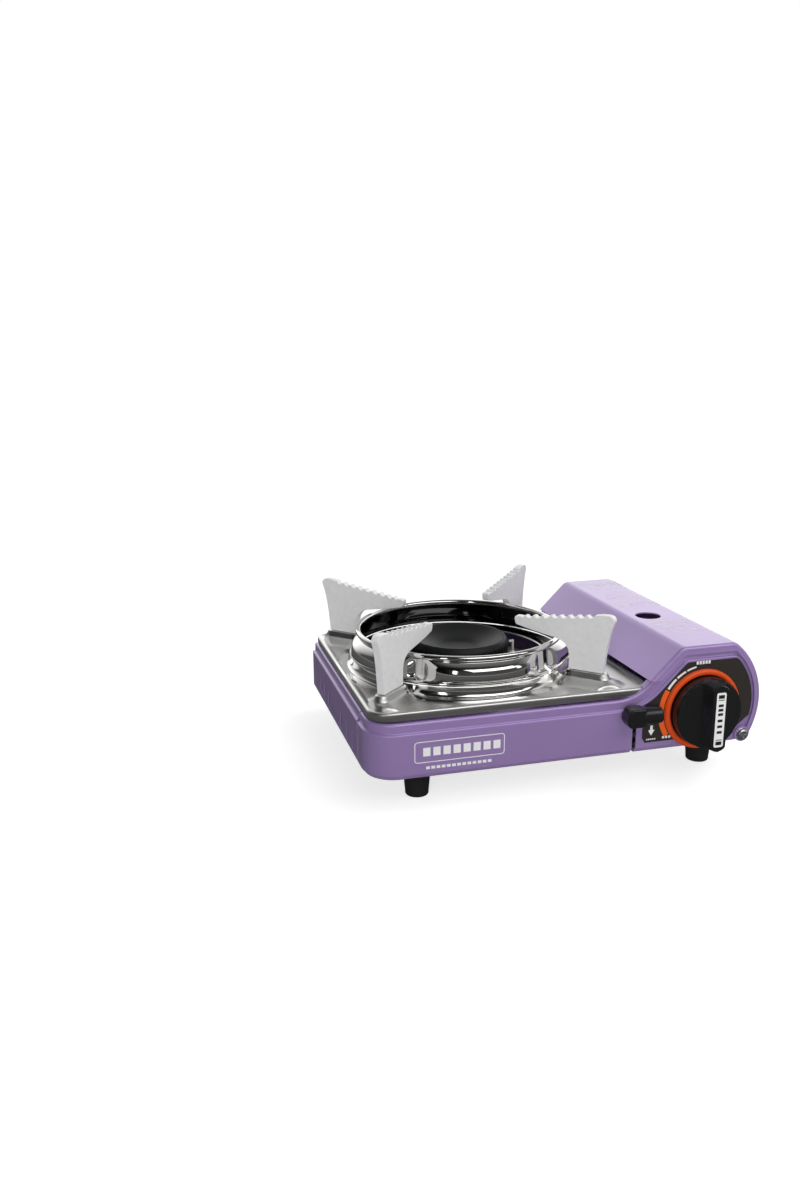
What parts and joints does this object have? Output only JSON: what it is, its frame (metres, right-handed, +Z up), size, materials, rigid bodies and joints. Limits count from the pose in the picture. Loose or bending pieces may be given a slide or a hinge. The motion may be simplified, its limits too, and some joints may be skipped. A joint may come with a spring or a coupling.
{
  "type": "portable gas stove",
  "caption": "Low portable gas stove with a square steel tray, a round burner with a windshield and toothed pan supports, and a hinged cartridge cover beside a control knob.",
  "frame": {"origin": "middle of the footprint on the ground, under the feet", "axes": "+X to the right along the front, +Y to the rear away from the control knob, +Z up"},
  "size_m": [0.2882, 0.2276, 0.1172],
  "materials": {
    "lilac_paint": "satin metallic lilac paint",
    "stainless": "fine brushed stainless steel",
    "mirror_steel": "mirror-bright stainless steel",
    "cast_aluminium": "pale grainy cast aluminium",
    "zinc_plate": "zinc-plated steel",
    "black_enamel": "black heat-proof enamel",
    "black_plastic": "satin black moulded plastic",
    "black_rubber": "black rubber",
    "orange_plastic": "orange moulded plastic",
    "white_plastic": "white plastic",
    "plate_print": "dark printed plate",
    "brass": "plain brass",
    "ceramic": "glazed ceramic with a steel wire",
    "lead_rubber": "dark red insulated lead"
  },
  "bodies": {
    "base": {"front_panel": "lilac_paint", "rear_panel": "lilac_paint", "side_panel": "lilac_paint", "bottom_pan": "zinc_plate", "heat_shield": "zinc_plate", "foot_front_left": "black_rubber", "foot_rear_left": "black_rubber", "foot_front_right": "black_rubber", "foot_rear_right": "black_rubber", "pivot_screw_front": "zinc_plate", "pivot_screw_rear": "zinc_plate", "pivot_washer_front": "zinc_plate", "pivot_washer_rear": "zinc_plate", "control_plate": "plate_print", "knob_bezel": "orange_plastic", "regulator_body": "cast_aluminium", "regulator_bonnet": "cast_aluminium", "regulator_bracket": "zinc_plate", "cartridge_seat": "brass", "cartridge_cradle": "zinc_plate", "piezo_body": "black_plastic", "spark_lead": "lead_rubber", "gas_pipe": "brass", "gas_jet": "brass", "jet_bracket": "zinc_plate", "mixing_tube": "zinc_plate", "burner_bridge": "zinc_plate", "burner_pan": "stainless", "burner_body": "cast_aluminium", "burner_head": "black_enamel", "spark_electrode": "ceramic", "electrode_bracket": "zinc_plate"},
    "cover": {"cover": "lilac_paint"},
    "control_knob": {"knob": "black_plastic", "knob_label": "white_plastic", "valve_shaft": "brass", "igniter_cam": "black_plastic"},
    "igniter_striker": {"piezo_striker": "white_plastic"},
    "lever": {"lock_lever": "black_plastic", "lever_slide": "zinc_plate"},
    "fork": {"lock_fork": "zinc_plate"},
    "pan_stand": {"drip_tray": "stainless", "windshield": "mirror_steel", "pan_support_rear_right": "cast_aluminium", "support_screw_rear_right": "zinc_plate", "pan_support_rear_left": "cast_aluminium", "support_screw_rear_left": "zinc_plate", "pan_support_front_left": "cast_aluminium", "support_screw_front_left": "zinc_plate", "pan_support_front_right": "cast_aluminium", "support_screw_front_right": "zinc_plate"}
  },
  "joints": [
    {"name": "cover_hinge", "type": "hinge", "parent": "base", "child": "cover", "pos_m": [0.1314, 0.01061, 0.0259], "axis": [0, 1, 0], "range_deg": [0, 95]},
    {"name": "knob_turn", "type": "hinge", "parent": "base", "child": "control_knob", "pos_m": [0.0969, -0.09939, 0.049], "axis": [0, -1, 0], "range_deg": [0, 125]},
    {"name": "striker_slide", "type": "slide", "parent": "base", "child": "igniter_striker", "axis": [1, 0, 0], "range_m": [0, 0.0048]},
    {"name": "lever_slide_down", "type": "slide", "parent": "base", "child": "lever", "axis": [0, 0, -1], "range_m": [0, 0.015]},
    {"name": "fork_slide", "type": "slide", "parent": "base", "child": "fork", "axis": [0, -1, 0], "range_m": [0, 0.004]},
    {"name": "stand_lift", "type": "slide", "parent": "base", "child": "pan_stand", "axis": [-0.7071, 0, 0.7071], "range_m": [0, 0.06]}
  ],
  "couplings": [
    {"joint": "striker_slide", "follows": "knob_turn", "m_per_rad": 0.00219},
    {"joint": "fork_slide", "follows": "lever_slide_down", "ratio": 0.266}
  ]
}
